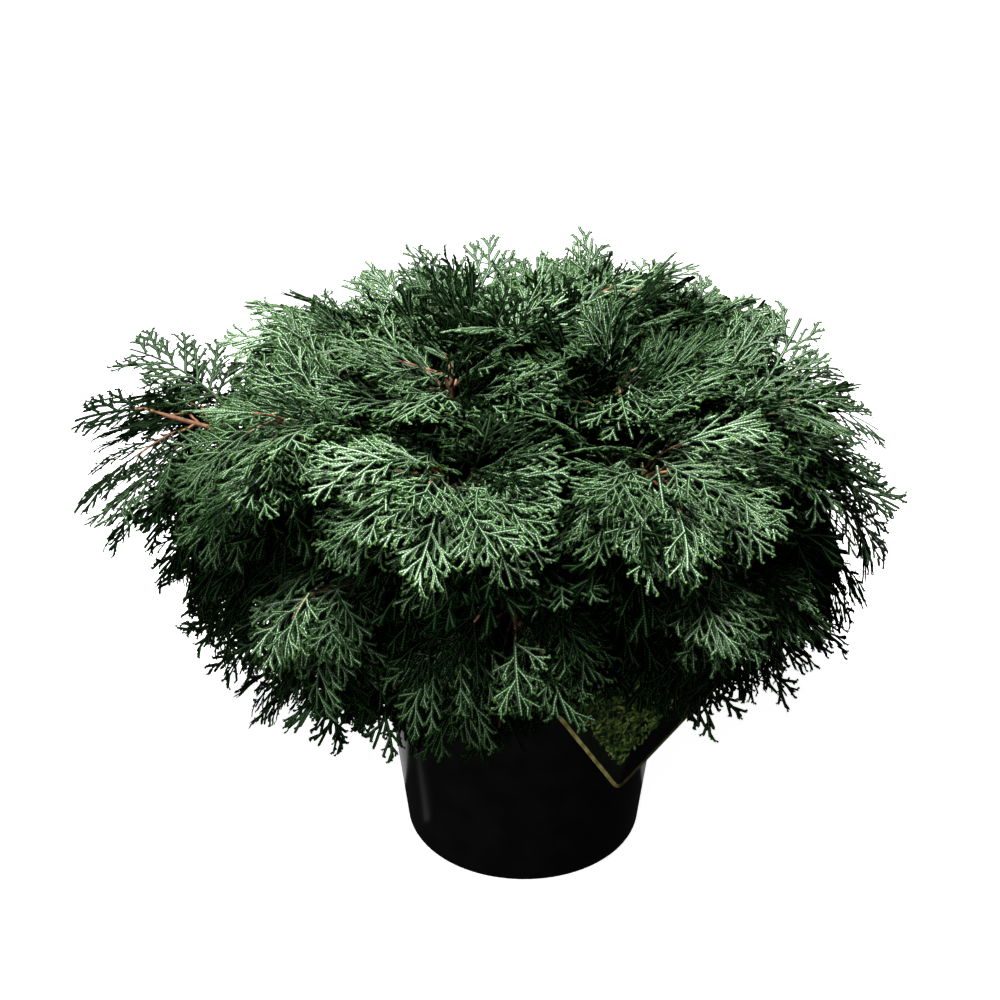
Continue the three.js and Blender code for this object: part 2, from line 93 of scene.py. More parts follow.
LONG_BOUGH = dict(name="long", azimuth=179, elevation=24, fork=0.204, rise=36, foot_radius=0.004,
                  reach_share=1.16, bough_share=0.6, sag=0.4, round=30, sprays=7, seed=61)
LEADER = dict(name="leader", azimuth=150, elevation=88, fork=None, reach_share=1, sag=-0.1, round=90,
              sprays=7, seed=197)
BOUGH = Sizes(tip_radius=0.0021, azimuth_jitter=5, elevation_jitter=3, reach_jitter=0.04)
STEM = Sizes(end_share=0.8, droop=0.010, end_radius=0.0013)
HANG = 0.028
TWIG = Sizes(end_tries=10, tries=520, end_length=0.005, longest=0.044, shortest=0.014, first=0.08, last=0.97,
             widest_angle=72, narrowest_angle=34, angle_jitter=16, foot_radius=0.001, tip_radius=0.0006)
SPRAY = Sizes(length=0.104, width=0.092, smallest=0.32, thickness=0.0016, sunk=0.0025, roll=22,
              size_jitter=0.08, forwards=0.3, droop=(0.2, 1.1))
CELL_MARGIN = 0.0006
LIMB_MARGIN = 0.0012
WOOD_STEP = 0.004  # between the points that stand for the wood
LABEL = Sizes(width=0.134, height=0.100, thickness=0.0009, corner=0.006, lowest=(0.058, -0.088, 0.082),
              azimuth=-57, lean=2, turn=32.5, ring_room=0.0016 + 0.006, bough="middle_8", ring_share=2 / 3,
              room=0.006, view=0.120, view_share=1.05)

# -------- sizes of what only the looks have
# Two more growths of sprays between those of the solids: fine ones off the stems, and a coarse dark lining
# near the wood. Most is how many one mass gets, and Density changes that for a tier or for one mass. Apart is
# the least distance between two sprays' middles, as a share of the later one's length. Swell is how far out a
# spray may reach, as a share of the crown, and Spread is a tier that reaches further.
FINE = Sizes(tries=1500, most=46, sizes=(0.80, 0.38), on_bough=0.25, first=0.03, twig_share=1.3,
             overlap=0.030, apart=0.15, sag=(0.1, 1.8), swell=(0.80, 1.01), seed=5000)
LINING = Sizes(tries=400, most=16, sizes=(0.95, 0.55), on_bough=0.65, first=0.18, twig_share=0.8,
               overlap=0.034, apart=0.18, sag=(1.2, 3.0), swell=(0.75, 0.95), seed=9000)
DENSITY = {"lower_7": 0.45, "middle_7": 0.7, "lower": 0.85, "middle": 1.0, "upper": 1.2, "top": 1.5,
           "long": 0.28, "leader": 1.4}
SPREAD = {"lower": 1.07}
LEAST_SAG = 0.7  # of the sprays that these growths add, on limbs that hardly hang
LOOSE_ROLL = 60  # how far such a limb's sprays turn about their ribs, in degrees
FURTHEST = 0.007  # out of the solids' box
# No spray hangs below this height, which rises with a slope from a start towards the crown's front.
LOWEST = Sizes(height=0.128, start=0.10, slope=0.55)
# Seen down this slope, no spray hangs before the label's low corner, so far to each side and above it.
LABEL_SHOWS = Sizes(slope=0.70, half_width=0.045, height=0.050)
# A fan rolls down from root to tip by a turn in degrees, less on a limb that hardly hangs. Where it would
# meet something it is eased step by step, down to a flat fan.
NOD = Sizes(turn=(6, 62), least=0.12, more=0.15, flat=0.02, easing=0.6, swell=1.03, seed=3000)
ANYWHERE = 1.0  # an overlap so large that a spray may reach into any mass
COARSE = Sizes(depth=0.60, cover=3.5, outer=0.85)  # a spray deep in, or well covered, has coarser branchlets
FAN = Sizes(
    ring=0.0060,  # between two bends of a branchlet's edge
    scale=0.0017,  # length of one scale leaf
    rib_spacing=0.0060,
    rib_turn=22,
    sides=(0.07, 0.95),  # where on the rib the first and the last side branch stand
    side_length=0.70,  # the first side branch, as a share of the rib
    aspect=0.885,  # a spray's width as a share of its length
    side_taper=0.6,
    side_lengths=(0.55, 1.15),
    side_angle=(50, 26),  # from root to tip of the rib
    side_turn=-10,  # side branches bend forwards as they grow
    side_turns=(0.4, 1.8),
    angle_jitter=7,
    sub_spacing=0.0043,
    sub_jitter=0.4,
    sub_longest=0.0150,
    sub_share=0.7,
    sub_lengths=(0.55, 1.0),
    sub_angle=34,
    sub_turn=12,
    twiglet_spacing=0.0035,
    twiglet_length=0.0034,
    twiglet_lengths=(0.65, 1.1),
    twiglet_angle=33,
    half_widths=(0.00116, 0.00108, 0.00100, 0.00098),  # rib, side branch, branchlet, twiglet
    coarseness=1.7,
    blunt=0.0012,  # from a branchlet's last ring to its end
    taper=0.12,
    ridge=0.65,
    slope=0.22,  # at most, of a side branch out of the spray's plane
    uneven=0.0004,
    cup=0.09,
    tilt=28,
)
# Bare twigs: which share of the twigs is brown, and which share near the end of a stem. A twig's wood runs on
# along the spray's rib, further where it is brown.
WOODY = Sizes(share=0.16, reach=0.020, end_share=0.6, ribs=(0.15, 0.45), green_rib=0.12, first=0.3,
              lift=0.0003, end_radius=0.0007, sag=-0.06, sides=5)
# How much painted light a spray's leaves get, from 1, the most lit copy of the leaf colours, down to 0, the
# deepest painted shade. It starts from a level that holds high up on the crown's surface. As painted shade it
# falls below that surface, lower down, under other sprays, past the crown's edge and far to the sides. As
# painted light it rises again at the low left.
PAINTED_LIGHT = Sizes(level=0.95, surface=0.95, depth=1.3, top=0.9, height=0.72, swing=0.16, cover=0.15,
              most_cover=4.5, edge=0.87, beyond=4.0, sides_from=0.155, sides=5, low_from=0.22, low=2.5,
              left_from=0.09, left_fade=1.6, low_left=9)
CROWN_FOOT, CROWN_HEIGHT = 0.13, 0.26  # of the leaves
COVER = Sizes(near=0.08, apart=0.003, outwards=0.7)  # where a spray that covers another one lies
MOST_TRIANGLES = 190_000  # in one piece
SEEDS = Sizes(leaves=404, wood=7, twigs=77, compost=12, card=31)
TRUNK_MESH, BOUGH_MESH, STEM_MESH = (34, 20, 0.07), (22, 9, 0.09), (14, 7, 0.08)  # rows, sides and relief
AXIS = 0.0005  # radius at which the profile of a turned piece starts and ends
# The compost's foot, a ring a little above it, how far its top is under the solid's, its fall to the wall,
# and crumbs that are sunk into it.
COMPOST = Sizes(foot=0.003, foot_radius=0.068, low=0.010, room=0.0026, low_top=0.0008, fall=0.004,
                uneven=0.0022, crumbs=900, crumb=(0.0008, 0.0024), sunk=0.001)
CRUMB = np.array(((1, 0, 0), (0, 1, 0), (-1, 0, 0), (0, -1, 0), (0, 0, 1), (0, 0, -1)))
CRUMB_FACES = [(0, 1, 4), (1, 2, 4), (2, 3, 4), (3, 0, 4), (1, 0, 5), (2, 1, 5), (3, 2, 5), (0, 3, 5)]
# The label: its golden edge, the dark bands inside its left and right lower edges, and the leaves on it.
CARD = Sizes(edge=0.0024, bands=(0.0055, 0.0098), film=0.00008, print=0.00010, step=0.0000001, leaves=3200,
             lengths=(0.0016, 0.0055),
             colours=[(0.05, 0.12, 0.03), (0.16, 0.30, 0.06), (0.42, 0.56, 0.12), (0.80, 0.85, 0.40)])
CARD_LEAF = np.array(((-0.5, 0), (-0.15, 0.16), (0.2, 0.14), (0.5, 0), (0.2, -0.14), (-0.15, -0.16)))
NO_LIMB_GOES = (0.31, 0.87, 0.39)  # a direction that no limb or twig starts in
STEM_END = Sizes(sunk=0.003, thinnest=0.35, thinning=5)  # into its bough at the foot, and thinner at the tip


# -------- small tools
class Seeded:
    """The source's repeatable random numbers, Lehmer's generator."""

    def __init__(self, seed):
        self.state = seed * 7919 + 1

    def draw(self):
        self.state = self.state * 48271 % 2147483647
        return self.state / 2147483647

    def swing(self):
        return 2 * self.draw() - 1


def lerp(a, b, share):
    return a + (b - a) * share


def unit(vector):
    return vector / np.linalg.norm(vector)


def units(vectors):
    return vectors / np.linalg.norm(vectors, axis=-1, keepdims=True)


def turned(vector, axis, degrees):
    """The vector turned about a unit axis."""
    angle = math.radians(degrees)
    along = axis * np.dot(axis, vector) * (1 - math.cos(angle))
    return vector * math.cos(angle) + np.cross(axis, vector) * math.sin(angle) + along


def aim(azimuth, elevation):
    a, e = math.radians(azimuth), math.radians(elevation)
    return np.array((math.cos(e) * math.cos(a), math.cos(e) * math.sin(a), math.sin(e)))


def bezier(controls, shares):
    """Points on a Bezier curve."""
    shares = np.asarray(shares, float)[..., None]
    points = [np.asarray(c, float) for c in controls]
    while len(points) > 1:
        points = [lerp(a, b, shares) for a, b in zip(points, points[1:])]
    return points[0]


def tangent(controls, share):
    behind, ahead = bezier(controls, [max(0, share - 1e-4), min(1, share + 1e-4)])
    return unit(ahead - behind)


# -------- the plan of the limbs
def pot_radius(height):
    return lerp(POT.base_radius, POT.rim_radius, height / POT.height)


def crown_level(points, swell=1.0):
    """0 at the crown's centre and 1 on its outer surface."""
    x, y, z = np.moveaxis(points, -1, 0)
    above = z > CROWN.centre_z
    vertical = np.abs(z - CROWN.centre_z) / np.where(above, CROWN.rise, CROWN.fall) / swell
    across = np.hypot((x - CROWN.centre_x) / CROWN.half_width, y / CROWN.half_depth) / swell
    return across**2 + vertical ** np.where(above, CROWN.top_roundness, CROWN.skirt_roundness)


def outwards(point):
    """How far out a point is: 0 at the crown's centre, about 1 at its surface."""
    side = math.hypot((point[0] - CROWN.centre_x) / CROWN.half_width, point[1] / CROWN.half_depth)
    upwards = point[2] - CROWN.centre_z
    return math.hypot(side, upwards / (CROWN.rise if upwards > 0 else CROWN.fall))


def crown_reach(direction):
    near, far = 0.0, CROWN.half_width * 2
    while far - near > 0.0005:
        middle = (near + far) / 2
        if crown_level(UP * CROWN.heart + direction * middle) < 1:
            near = middle
        else:
            far = middle
    return near


TRUNK_FOOT = COMPOST_TOP + GAP
TRUNK_CURVE = [
    (0, 0, TRUNK_FOOT),
    (0, 0, TRUNK_FOOT + TRUNK.height / 3),
    (*TRUNK.belly, TRUNK_FOOT + TRUNK.height * 2 / 3),
    (*TRUNK.tip, TRUNK_FOOT + TRUNK.height),
]


def trunk_radius(share):
    return lerp(TRUNK.foot_radius, TRUNK.tip_radius, share) + TRUNK.flare * np.exp(-share / TRUNK.flare_share)


def plan_limb(**sizes):
    """A limb's plan: its bough's curve, and its stem's curve, which carries on from the bough's tip."""
    plan = Sizes(bough=None, **sizes)
    heart = UP * CROWN.heart
    direction = aim(plan.azimuth, plan.elevation)
    reach = crown_reach(direction) * plan.reach_share
    end = heart + direction * reach * STEM.end_share - UP * plan.sag * STEM.droop
    foot, leaving = bezier(TRUNK_CURVE, 1), tangent(TRUNK_CURVE, 1)
    if plan.fork:
        start = bezier(TRUNK_CURVE, (plan.fork - TRUNK_FOOT) / TRUNK.height)
        foot = heart + direction * reach * plan.bough_share + UP * plan.sag * STEM.droop
        bend = start + aim(plan.azimuth, plan.rise) * np.linalg.norm(foot - start) * 0.5
        plan.bough = [start, bend, foot]
        leaving = tangent(plan.bough, 1)
    start = foot + leaving * GAP
    plan.stem = [start, start + leaving * np.linalg.norm(foot - end) * 0.45, end]
    plan.site = bezier(plan.stem, 0.75) - UP * plan.sag * HANG
    return plan


def plan_tier(tier):
    random = Seeded(tier["seed"])
    for i in range(tier["count"]):
        step = tier["sweep"] / (tier["count"] - 1)
        changes = dict(
            name=f"{tier['name']}_{i + 1}",
            azimuth=tier["first_azimuth"] - step * i + random.swing() * BOUGH.azimuth_jitter,
            elevation=tier["elevation"] + random.swing() * BOUGH.elevation_jitter,
            reach_share=1 + random.swing() * BOUGH.reach_jitter,
            fork=tier["forks"][i % 2],
            seed=tier["seed"] * 10 + i,
        )
        yield plan_limb(**{**tier, **changes})


plans = [plan for tier in TIERS for plan in plan_tier(tier)]
plans += [plan_limb(**LONG_BOUGH), plan_limb(**LEADER)]
sites = np.array([plan.site for plan in plans])


def bough_radius(plan, share):
    return lerp(plan.foot_radius, BOUGH.tip_radius, share)


def stem_radius(share):
    return lerp(BOUGH.tip_radius, STEM.end_radius, share)


def note_wood():
    """Points along every limb, its radius there, whose stem it is, and whose stem or bough it is."""
    curves = [(TRUNK_CURVE, trunk_radius, -1, -1)]
    for index, plan in enumerate(plans):
        if plan.bough:
            curves.append((plan.bough, lambda share, plan=plan: bough_radius(plan, share), -1, index))
        curves.append((plan.stem, stem_radius, index, index))
    notes = []
    for controls, radius_at, *owners in curves:
        length = np.linalg.norm(np.diff(bezier(controls, np.linspace(0, 1, 30)), axis=0), axis=1).sum()
        shares = np.linspace(0, 1, math.ceil(length / WOOD_STEP) + 1)
        owned = [np.full(len(shares), owner) for owner in owners]
        notes.append((bezier(controls, shares), radius_at(shares), *owned))
    return [np.concatenate(part) for part in zip(*notes)]


wood_centres, wood_radii, wood_stems, wood_limbs = note_wood()


# -------- the label's frame
def label_frame():
    """Origin at the card's lowest corner, and its axes as rows: two lower edges and out of its face."""
    outward = aim(LABEL.azimuth, 0)
    level = np.cross(UP, outward)
    lean, turn = math.radians(LABEL.lean), math.radians(LABEL.turn)
    slope = UP * math.cos(lean) - outward * math.sin(lean)
    x = level * math.cos(turn) + slope * math.sin(turn)
    y = slope * math.cos(turn) - level * math.sin(turn)
    return np.array(LABEL.lowest), np.array((x, y, np.cross(x, y)))


LABEL_ORIGIN, LABEL_AXES = label_frame()
label_plan = next(plan for plan in plans if plan.name == LABEL.bough)
RING_CENTRE = bezier(label_plan.bough, LABEL.ring_share)
RING_REACH = bough_radius(label_plan, LABEL.ring_share) + GAP + 0.0004 + LABEL.ring_room


# -------- sprays by the source's rule
def is_free(points, index, overlap=0.0, swell=1.0):
    """Which points lie in the crown and in the mass's own space, and clear of the pot and the label."""
    inside = crown_level(points, plans[index].reach_share * swell) < 1
    squares = ((points[:, None] - sites) ** 2).sum(axis=2)
    spans = np.linalg.norm(sites - sites[index], axis=1)
    others = np.arange(len(plans)) != index
    left = ((squares[:, others] - squares[:, index : index + 1]) / (2 * spans[others])).min(axis=1)
    outside = np.hypot(points[:, 0], points[:, 1]) > pot_radius(points[:, 2]) + POT.lip_reach + LIMB_MARGIN
    near_pot = (points[:, 2] < POT.height + LIMB_MARGIN) & ~outside
    x, y, z = ((points - LABEL_ORIGIN) @ LABEL_AXES.T).T
    front = np.where(x / LABEL.width + y / LABEL.height < LABEL.view_share, LABEL.view, LABEL.room)
    on_card = (x > -LABEL.room) & (x < LABEL.width + LABEL.room) & (z > -LABEL.room) & (z < front)
    on_card &= (y > -LABEL.room) & (y < LABEL.height + LABEL.room)
    on_ring = np.linalg.norm(points - RING_CENTRE, axis=1) < RING_REACH
    return inside & (left > CELL_MARGIN - overlap) & ~near_pot & ~on_card & ~on_ring


def local(points, spray):
    return (points - spray.origin) @ spray.axes.T


def crosses(points, spray):
    """True if points that follow a spray, twig or stem lie on both sides of a flat spray, or against it."""
    x, y, z = local(points, spray).T
    over = z[(x >= 0) & (x <= spray.length) & (np.abs(y) <= spray.width / 2)]
    return len(over) > 0 and over.min() < SPRAY.thickness and over.max() > -SPRAY.thickness


# Points all over a spray, as shares of its length and of its width. It is narrow at the root.
GRID = np.array([(i / 6, (j / 4) * min(1, 0.15 + i / 2)) for i in range(7) for j in range(-2, 3)])


def rolled(x, length, bend):
    """Where a point at x along a spray's rib comes to when it rolls down: forwards, down and the angle."""
    fall = bend * x / length
    return length / bend * np.sin(fall), length / bend * (1 - np.cos(fall)), fall


def points_on(spray, bend=1e-6):
    forwards, down, _ = rolled(GRID[:, :1] * spray.length, spray.length, bend)
    along = forwards * spray.axes[0] - down * spray.axes[2]
    return spray.origin + along + GRID[:, 1:] * spray.width * spray.axes[1]


def middle_of(spray):
    return spray.origin + spray.axes[0] * spray.length / 2


def twig_points(spray):
    return lerp(spray.root, spray.tip, np.linspace(0, 1, 9)[:, None])


def clear_of_wood(spray, index, margin, owners):
    x, y, z = local(wood_centres, spray).T
    keep = wood_radii + margin + SPRAY.thickness
    beside = (x > -keep) & (x < spray.length + keep) & (np.abs(y) < spray.width / 2 + keep)
    return not (beside & (np.abs(z) < keep) & (owners != index)).any()


def spray_fits(spray, index, others):
    points = points_on(spray)
    if not is_free(points, index).all() or crosses(bezier(plans[index].stem, np.linspace(0, 1, 13)), spray):
        return False
    for other in others:
        if crosses(points, other) or crosses(twig_points(spray), other) or crosses(twig_points(other), spray):
            return False
    return clear_of_wood(spray, index, LIMB_MARGIN, wood_stems)


def twig_fits(spray, index, owners, overlap=0.0, swell=1.0):
    points = twig_points(spray)[1:]
    if not is_free(points, index, overlap, swell).all():
        return False
    theirs = owners != index
    gaps = np.linalg.norm(points[:, None] - wood_centres[theirs], axis=2) - wood_radii[theirs]
    return gaps.min() > TWIG.foot_radius + LIMB_MARGIN


def grow_spray(plan, random, last, size, limb, sag, roll=SPRAY.roll, first=TWIG.first, longest=1.0):
    """One try at a spray and the twig that carries it, off a limb or at its end."""
    share = 1 if last else lerp(first, TWIG.last, random.draw())
    size *= 1 + random.swing() * SPRAY.size_jitter
    root, along = bezier(limb, share), tangent(limb, share)
    side = 0 if random.draw() < 0.5 else 180
    beside = turned(unit(np.cross(UP, along)), along, side + random.swing() * plan.round)
    spread = 0
    if not last:
        spread = lerp(TWIG.widest_angle, TWIG.narrowest_angle, share) + random.swing() * TWIG.angle_jitter
    direction = along * math.cos(math.radians(spread)) + beside * math.sin(math.radians(spread))
    twig = TWIG.end_length if last else lerp(TWIG.longest, TWIG.shortest, share) * size * longest
    tip = root + direction * twig
    bent = unit(direction + along * SPRAY.forwards - UP * sag * lerp(*SPRAY.droop, share))
    across = turned(unit(np.cross(UP, bent)), bent, random.swing() * roll)
    axes = np.array((bent, across, np.cross(bent, across)))
    return Sizes(root=root, tip=tip, origin=tip - bent * SPRAY.sunk, axes=axes,
                 length=SPRAY.length * size, width=SPRAY.width * size)


def grow_mass(index):
    """The sprays that the solid of this mass has."""
    plan = plans[index]
    random = Seeded(plan.seed)
    sprays = []
    for attempt in range(TWIG.end_tries + TWIG.tries):
        last = attempt < TWIG.end_tries
        if len(sprays) == plan.sprays:
            break
        if last and sprays:
            continue
        tired = attempt / TWIG.end_tries if last else (attempt - TWIG.end_tries) / TWIG.tries
        spray = grow_spray(plan, random, last, lerp(1, SPRAY.smallest, tired), plan.stem, plan.sag)
        if (last or twig_fits(spray, index, wood_stems)) and spray_fits(spray, index, sprays):
            sprays.append(spray)
    return sprays


def nod(plan, random):
    return math.radians(lerp(*NOD.turn, random.draw()) * min(1, max(NOD.least, plan.sag + NOD.more)))


def hangs_low(points):
    """True if a spray would hang too low, or before the label's low corner."""
    rise = LOWEST.slope * np.maximum(0, -points[:, 1] - LOWEST.start)
    ahead = LABEL.lowest[1] - points[:, 1]
    seen_at = points[:, 2] - LABEL_SHOWS.slope * ahead
    in_front = (ahead > 0) & (np.abs(points[:, 0] - LABEL.lowest[0]) < LABEL_SHOWS.half_width)
    hides_label = in_front & (seen_at < LABEL.lowest[2] + LABEL_SHOWS.height)
    return (points[:, 2] < LOWEST.height + rise).any() or hides_label.any()


def grow_more(index, sprays, growth):
    """More sprays between those that a mass has. They are open, so they may overlap a little."""
    plan = plans[index]
    random = Seeded(plan.seed + growth.seed)
    tier = plan.name.split("_")[0]
    roll = lerp(LOOSE_ROLL, SPRAY.roll, min(1, max(0, plan.sag)))
    more = []
    centres = np.array([middle_of(spray) for spray in sprays])
    for attempt in range(growth.tries):
        if len(more) >= growth.most * DENSITY.get(plan.name, DENSITY[tier]):
            break
        on_bough = plan.bough is not None and random.draw() < growth.on_bough
        sag = lerp(*growth.sag, random.draw()) * max(plan.sag, LEAST_SAG)
        swell = lerp(*growth.swell, random.draw() ** 2) * SPREAD.get(tier, 1)
        size = lerp(*growth.sizes, attempt / growth.tries)
        limb = plan.bough if on_bough else plan.stem
        spray = grow_spray(plan, random, False, size, limb, sag, roll, growth.first, growth.twig_share)
        spray.bend = nod(plan, random)
        if np.linalg.norm(centres - middle_of(spray), axis=1).min() < growth.apart * spray.length:
            continue
        if not twig_fits(spray, index, wood_limbs, growth.overlap, swell):
            continue
        if not clear_of_wood(spray, index, 0, wood_limbs):
            continue
        points = points_on(spray, spray.bend)
        if not (SOLIDS_LOW - FURTHEST < points).all() or not (points < SOLIDS_HIGH + FURTHEST).all():
            continue
        if hangs_low(points):
            continue
        if is_free(points, index, growth.overlap, swell).all():
            more.append(spray)
            centres = np.concatenate((centres, [middle_of(spray)]))
    return more


def roll_down(index, sprays):
    """Gives the solids' sprays their nod, less where it would meet the pot or the label."""
    random = Seeded(plans[index].seed + NOD.seed)
    for spray in sprays:
        spray.bend = nod(plans[index], random)
        while spray.bend > NOD.flat:
            points = points_on(spray, spray.bend)
            if is_free(points, index, ANYWHERE, NOD.swell).all() and not hangs_low(points):
                break
            spray.bend *= NOD.easing


# -------- meshes from arrays
def put(name, data):
    thing = bpy.data.objects.new(name, data)
    bpy.context.scene.collection.objects.link(thing)
    return thing


def make_mesh(name, vertices, quads, triangles=(), materials=(), places=None):
    """A piece from faces given as arrays of vertex numbers. A second material is for its triangles."""
    quads = np.asarray(quads, np.int32).reshape(-1, 4)
    triangles = np.asarray(triangles, np.int32).reshape(-1, 3)
    starts = np.concatenate((np.arange(len(quads)) * 4, len(quads) * 4 + np.arange(len(triangles)) * 3))
    corners = np.concatenate((quads.ravel(), triangles.ravel()))
    mesh = bpy.data.meshes.new(name)
    mesh.vertices.add(len(vertices))
    mesh.vertices.foreach_set("co", np.asarray(vertices, np.float32).ravel())
    mesh.loops.add(len(corners))
    mesh.loops.foreach_set("vertex_index", corners.astype(np.int32))
    mesh.polygons.add(len(starts))
    mesh.polygons.foreach_set("loop_start", starts.astype(np.int32))
    for material in materials:
        mesh.materials.append(material)
    if len(materials) > 1:
        numbers = np.repeat((0, 1), (len(quads), len(triangles))).astype(np.int32)
        mesh.polygons.foreach_set("material_index", numbers)
    if places is not None:
        layer = mesh.uv_layers.new(name="scales")
        layer.data.foreach_set("uv", places[corners].astype(np.float32).ravel())
    mesh.update(calc_edges=True)
    mesh.validate()
    piece = put(name, mesh)
    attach(piece, "root")  # the plant's one body
    return piece


class Pile:
    """Vertices and faces of many small forms that end up in one piece."""

    def __init__(self):
        self.vertices, self.quads, self.triangles = [], [], []
        self.count = 0

    def add(self, vertices, quads=(), triangles=()):
        self.vertices.append(np.asarray(vertices, float).reshape(-1, 3))
        self.quads.append(np.asarray(quads, int).reshape(-1, 4) + self.count)
        self.triangles.append(np.asarray(triangles, int).reshape(-1, 3) + self.count)
        self.count += len(self.vertices[-1])

    def piece(self, name, *materials):
        arrays = [np.concatenate(part) for part in (self.vertices, self.quads, self.triangles)]
        return make_mesh(name, *arrays, materials)


def grid_quads(rows, sides):
    """The quads between rows of vertices that each close into a ring."""
    i, j = np.meshgrid(np.arange(rows - 1) * sides, np.arange(sides), indexing="ij")
    k = (j + 1) % sides
    return np.stack((i + j, i + k, i + sides + k, i + sides + j), axis=-1).reshape(-1, 4)


def closed(rings, foot, end):
    """Rings of vertices joined into walls, and capped round a middle point at each end."""
    rows, sides = rings.shape[:2]
    vertices = np.concatenate((rings.reshape(-1, 3), [foot, end]))
    i = np.arange(sides)
    k = (i + 1) % sides
    top, middle = (rows - 1) * sides, np.full(sides, rows * sides)
    caps = np.array(((k, i, middle), (top + i, top + k, middle + 1)))
    return vertices, grid_quads(rows, sides), caps.transpose(0, 2, 1).reshape(-1, 3)


def tube(points, radii, sides, relief=None):
    """A closed tube round a line of points. Relief scales the radius, one row for each point."""
    points = np.asarray(points, float)
    directions = units(np.gradient(points, axis=0))
    normals = [unit(np.cross(directions[0], NO_LIMB_GOES))]
    for direction in directions[1:]:
        normals.append(unit(normals[-1] - direction * np.dot(normals[-1], direction)))
    normals = np.array(normals)
    besides = np.cross(directions, normals)
    angles = np.arange(sides) * 2 * math.pi / sides
    scale = np.ones((len(points), sides)) if relief is None else relief
    rounds = normals[:, None] * np.cos(angles)[:, None] + besides[:, None] * np.sin(angles)[:, None]
    rings = points[:, None] + rounds * (np.asarray(radii)[:, None] * scale)[..., None]
    return closed(rings, points[0], points[-1])


def lathe(profile, sides):
    """A surface of revolution round the vertical axis, from a profile of (radius, height)."""
    profile = np.asarray(profile, float)
    angles = np.arange(sides) * 2 * math.pi / sides
    radius, height = profile[:, :1], profile[:, 1:]
    rings = np.stack((radius * np.cos(angles), radius * np.sin(angles), height + 0 * angles), axis=-1)
    return rings.reshape(-1, 3), grid_quads(len(profile), sides)


# -------- materials
NOISE_RANGE = (0.35, 0.65)  # where on a noise from 0 to 1 its two colours are pure


def set_inputs(node, values):
    """Gives each input its value, or a link from another node's socket."""
    for key, value in values.items():
        if isinstance(value, bpy.types.NodeSocket):
            node.id_data.links.new(value, node.inputs[key])
        else:
            node.inputs[key].default_value = value


def new_material(name, colour, roughness):
    material = bpy.data.materials.new(name)
    material.use_nodes = True
    shader = material.node_tree.nodes["Principled BSDF"]
    set_inputs(shader, {"Base Color": (*colour, 1), "Roughness": roughness})
    return material, shader


def add_node(shader, kind, inputs, **settings):
    """A new node beside a material's shader."""
    node = shader.id_data.nodes.new(f"ShaderNode{kind}")
    for name, setting in settings.items():
        setattr(node, name, setting)
    set_inputs(node, inputs)
    return node


def speckled(name, dark, light, scale, roughness, stretch=(1, 1, 1), bump=0.0, depth=0.0005):
    """A material whose colour wanders between two by a noise, with bump from the same noise."""
    material, shader = new_material(name, light, roughness)
    place = add_node(shader, "TexCoord", {})
    mapping = add_node(shader, "Mapping", {"Vector": place.outputs["Object"], "Scale": stretch})
    source = {"Vector": mapping.outputs["Vector"], "Scale": scale, "Detail": 3}
    noise = add_node(shader, "TexNoise", source).outputs["Fac"]
    ramp = add_node(shader, "ValToRGB", {"Fac": noise})
    for element, position, colour in zip(ramp.color_ramp.elements, NOISE_RANGE, (dark, light)):
        element.position = position
        element.color = (*colour, 1)
    set_inputs(shader, {"Base Color": ramp.outputs["Color"]})
    if bump:
        relief = add_node(shader, "Bump", {"Strength": bump, "Distance": depth, "Height": noise})
        set_inputs(shader, {"Normal": relief.outputs["Normal"]})
    return material


# Leaf colours, one row for each step from the most painted light down to the deepest painted shade: name,
# dark flank, light flank, pale keel (a painted highlight over waxy bloom), growing tips, roughness and gloss.
# Within a row the flanks wander at random between their two greens; from row to row every colour, the
# roughness and the gloss step down from painted light to painted shade.
PAINTED_LEAF_SHADES = [
    ("silver", (0.0045, 0.020, 0.007), (0.014, 0.048, 0.017), (0.63, 0.87, 0.53), (0.120, 0.250, 0.060),
     0.40, 0.5),
    ("blue", (0.003, 0.013, 0.0045), (0.008, 0.032, 0.010), (0.45, 0.66, 0.385), (0.080, 0.175, 0.036),
     0.42, 0.45),
    ("green", (0.0015, 0.008, 0.0023), (0.0048, 0.020, 0.0055), (0.28, 0.44, 0.235), (0.042, 0.105, 0.017),
     0.45, 0.3),
    ("deep", (0.0009, 0.0050, 0.0013), (0.003, 0.013, 0.0035), (0.140, 0.240, 0.115), (0.017, 0.046, 0.007),
     0.55, 0.15),
    ("dark", (0.0005, 0.0018, 0.0006), (0.0015, 0.0050, 0.0018), (0.026, 0.052, 0.021), (0.005, 0.015, 0.003),
     0.8, 0.0),
]
WAX_TINT = (0.74, 1.0, 0.68)
FLANK_GRAIN, TIP_GRAIN = 420, 300  # scales of the noise in the leaf colours
# Where a keel's pale colour, a painted highlight over waxy bloom, ends and where it is pure, in half widths,
# and how far a joint narrows it.
KEEL = Sizes(edge=0.47, middle=0.12, narrowing=0.35)
BARK = speckled("bark", (0.040, 0.014, 0.007), (0.190, 0.075, 0.034), 90, 0.85, (3, 3, 1), 0.6)
YOUNG_BARK = speckled("young_bark", (0.040, 0.016, 0.008), (0.220, 0.098, 0.042), 140, 0.75, (1, 1, 1), 0.5)
GREEN_BARK = speckled("green_bark", (0.010, 0.013, 0.005), (0.065, 0.060, 0.025), 160, 0.7, (1, 1, 1), 0.3)
BROWN_BARK = speckled("brown_bark", (0.040, 0.014, 0.006), (0.330, 0.140, 0.060), 330, 0.7, (1, 1, 1), 0.4)
POT_PLASTIC = speckled("pot_plastic", (0.0030, 0.0032, 0.0030), (0.0055, 0.0058, 0.0055), 60, 0.19, bump=0.05)
SOIL = speckled("soil", (0.010, 0.006, 0.004), (0.075, 0.045, 0.028), 220, 0.95, bump=0.8, depth=0.001)


